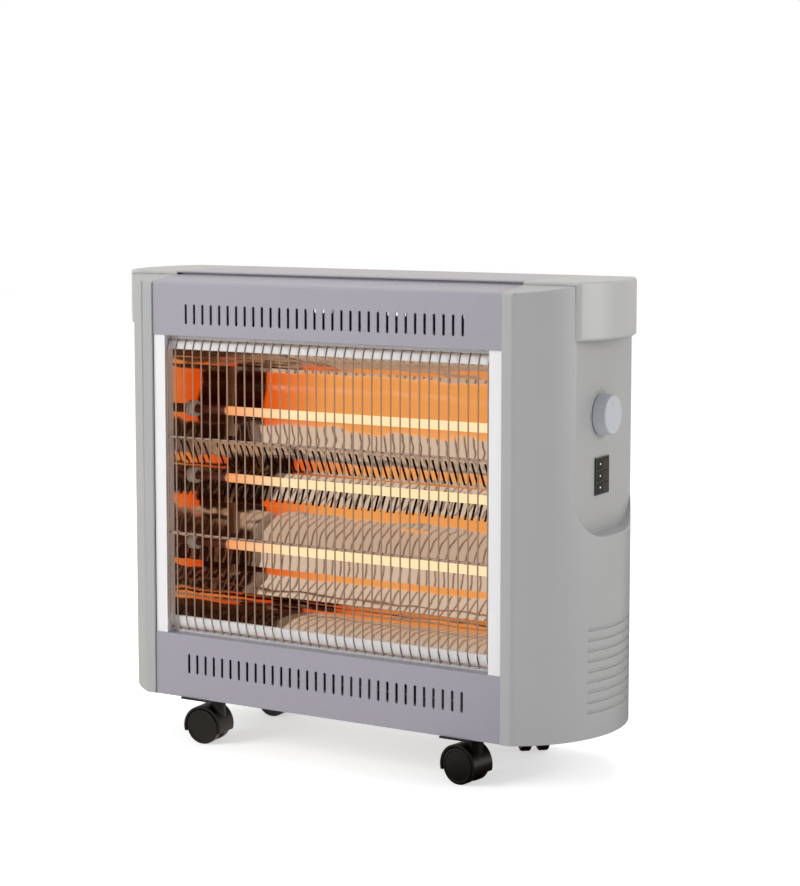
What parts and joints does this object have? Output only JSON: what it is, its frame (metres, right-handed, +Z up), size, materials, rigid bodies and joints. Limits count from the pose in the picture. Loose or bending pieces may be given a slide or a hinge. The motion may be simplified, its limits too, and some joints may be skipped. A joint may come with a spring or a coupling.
{
  "type": "halogen heater",
  "caption": "Free-standing lamp heater with a polished trough reflector behind a wire guard, bowed side casings with grip pockets, side controls and swivel castors.",
  "frame": {"origin": "on the floor under the middle of the body", "axes": "+X to the right as seen from the front, where the controls are; +Y to the back; +Z up"},
  "size_m": [0.6036, 0.234, 0.535],
  "materials": {
    "front_panel_paint": "metallic mauve-grey lacquer, low gloss",
    "galvanised_steel": "plain galvanised sheet",
    "casing_plastic": "fine satin light grey",
    "cap_plastic": "satin pale grey",
    "polished_reflector": "polished aluminium sheet",
    "chromed_wire": "bright chrome plating",
    "quartz": "clear fused quartz, lit from inside",
    "glowing_filament": "glowing orange-white",
    "white_ceramic": "unglazed steatite",
    "black_plastic": "semi-gloss black",
    "bright_steel": "zinc-plated",
    "knob_plastic": "satin pale grey",
    "pale_plastic": "natural nylon",
    "motor_steel": "dull grey paint",
    "black_painted_rail": "black paint",
    "castor_plastic": "moulded black nylon"
  },
  "bodies": {
    "heater": {"upper_front_panel": "front_panel_paint", "lower_front_panel": "front_panel_paint", "top_panel": "front_panel_paint", "rear_panel": "front_panel_paint", "base_pan": "galvanised_steel", "left_side_frame": "galvanised_steel", "right_side_frame": "galvanised_steel", "left_side_casing": "casing_plastic", "right_side_casing": "casing_plastic", "left_handle_cap": "cap_plastic", "right_handle_cap": "cap_plastic", "reflector": "polished_reflector", "left_end_plate": "polished_reflector", "right_end_plate": "polished_reflector", "guard_grille": "chromed_wire", "upper_lamp_tube": "quartz", "middle_lamp_tube": "quartz", "lower_lamp_tube": "quartz", "filament_coils": "glowing_filament", "left_lamp_caps": "white_ceramic", "right_lamp_caps": "white_ceramic", "left_lamp_holder": "galvanised_steel", "right_lamp_holder": "galvanised_steel", "thermostat_body": "black_plastic", "switch_housing": "black_plastic", "rocker_pin": "bright_steel", "terminal_block": "pale_plastic", "tilt_switch": "black_plastic", "cord_gland": "black_plastic", "fan_motor": "motor_steel", "fan_bracket": "galvanised_steel", "left_castor_rail": "black_painted_rail", "right_castor_rail": "black_painted_rail", "castor_stems": "bright_steel", "rail_bolts": "bright_steel", "panel_screws": "bright_steel", "casing_screws": "bright_steel"},
    "knob": {"thermostat_knob": "knob_plastic", "thermostat_shaft": "bright_steel"},
    "upper_rocker": {"upper_rocker": "black_plastic"},
    "middle_rocker": {"middle_rocker": "black_plastic"},
    "lower_rocker": {"lower_rocker": "black_plastic"},
    "fan": {"fan_impeller": "black_plastic", "fan_shaft": "bright_steel"},
    "front_left_castor": {"front_left_castor": "castor_plastic", "front_left_axle": "bright_steel"},
    "front_left_wheel_a": {"front_left_wheel_a": "castor_plastic"},
    "front_left_wheel_b": {"front_left_wheel_b": "castor_plastic"},
    "front_right_castor": {"front_right_castor": "castor_plastic", "front_right_axle": "bright_steel"},
    "front_right_wheel_a": {"front_right_wheel_a": "castor_plastic"},
    "front_right_wheel_b": {"front_right_wheel_b": "castor_plastic"},
    "rear_left_castor": {"rear_left_castor": "castor_plastic", "rear_left_axle": "bright_steel"},
    "rear_left_wheel_a": {"rear_left_wheel_a": "castor_plastic"},
    "rear_left_wheel_b": {"rear_left_wheel_b": "castor_plastic"},
    "rear_right_castor": {"rear_right_castor": "castor_plastic", "rear_right_axle": "bright_steel"},
    "rear_right_wheel_a": {"rear_right_wheel_a": "castor_plastic"},
    "rear_right_wheel_b": {"rear_right_wheel_b": "castor_plastic"}
  },
  "joints": [
    {"name": "knob_turn", "type": "hinge", "parent": "heater", "child": "knob", "pos_m": [0.279, -0.008, 0.395], "axis": [-1, 0, 0], "range_deg": [0, 270]},
    {"name": "upper_rocker_tilt", "type": "hinge", "parent": "heater", "child": "upper_rocker", "pos_m": [0.2775, -0.0055, 0.3429], "axis": [0, 0, 1], "range_deg": [0, 14]},
    {"name": "middle_rocker_tilt", "type": "hinge", "parent": "heater", "child": "middle_rocker", "pos_m": [0.2775, -0.0055, 0.3305], "axis": [0, 0, 1], "range_deg": [0, 14]},
    {"name": "lower_rocker_tilt", "type": "hinge", "parent": "heater", "child": "lower_rocker", "pos_m": [0.2775, -0.0055, 0.3181], "axis": [0, 0, 1], "range_deg": [0, 14]},
    {"name": "fan_spin", "type": "hinge", "parent": "heater", "child": "fan", "pos_m": [0, 0.0568, 0.305], "axis": [0, 1, 0], "continuous": true},
    {"name": "front_left_swivel", "type": "hinge", "parent": "heater", "child": "front_left_castor", "pos_m": [-0.166, -0.071, 0.05], "axis": [0, 0, 1], "continuous": true},
    {"name": "front_left_wheel_a_spin", "type": "hinge", "parent": "front_left_castor", "child": "front_left_wheel_a", "pos_m": [-0.17706, -0.08226, 0.02], "axis": [-0.0872, 0.9962, 0], "continuous": true},
    {"name": "front_left_wheel_b_spin", "type": "hinge", "parent": "front_left_castor", "child": "front_left_wheel_b", "pos_m": [-0.17885, -0.06184, 0.02], "axis": [-0.0872, 0.9962, 0], "continuous": true},
    {"name": "front_right_swivel", "type": "hinge", "parent": "heater", "child": "front_right_castor", "pos_m": [0.166, -0.071, 0.05], "axis": [0, 0, 1], "continuous": true},
    {"name": "front_right_wheel_a_spin", "type": "hinge", "parent": "front_right_castor", "child": "front_right_wheel_a", "pos_m": [0.1524, -0.07901, 0.02], "axis": [0.1736, 0.9848, 0], "continuous": true},
    {"name": "front_right_wheel_b_spin", "type": "hinge", "parent": "front_right_castor", "child": "front_right_wheel_b", "pos_m": [0.15596, -0.05882, 0.02], "axis": [0.1736, 0.9848, 0], "continuous": true},
    {"name": "rear_left_swivel", "type": "hinge", "parent": "heater", "child": "rear_left_castor", "pos_m": [-0.166, 0.071, 0.05], "axis": [0, 0, 1], "continuous": true},
    {"name": "rear_left_wheel_a_spin", "type": "hinge", "parent": "rear_left_castor", "child": "rear_left_wheel_a", "pos_m": [-0.178, 0.06075, 0.02], "axis": [0, 1, 0], "continuous": true},
    {"name": "rear_left_wheel_b_spin", "type": "hinge", "parent": "rear_left_castor", "child": "rear_left_wheel_b", "pos_m": [-0.178, 0.08125, 0.02], "axis": [0, 1, 0], "continuous": true},
    {"name": "rear_right_swivel", "type": "hinge", "parent": "heater", "child": "rear_right_castor", "pos_m": [0.166, 0.071, 0.05], "axis": [0, 0, 1], "continuous": true},
    {"name": "rear_right_wheel_a_spin", "type": "hinge", "parent": "rear_right_castor", "child": "rear_right_wheel_a", "pos_m": [0.15044, 0.0736, 0.02], "axis": [0.766, 0.6428, 0], "continuous": true},
    {"name": "rear_right_wheel_b_spin", "type": "hinge", "parent": "rear_right_castor", "child": "rear_right_wheel_b", "pos_m": [0.16614, 0.08678, 0.02], "axis": [0.766, 0.6428, 0], "continuous": true}
  ]
}
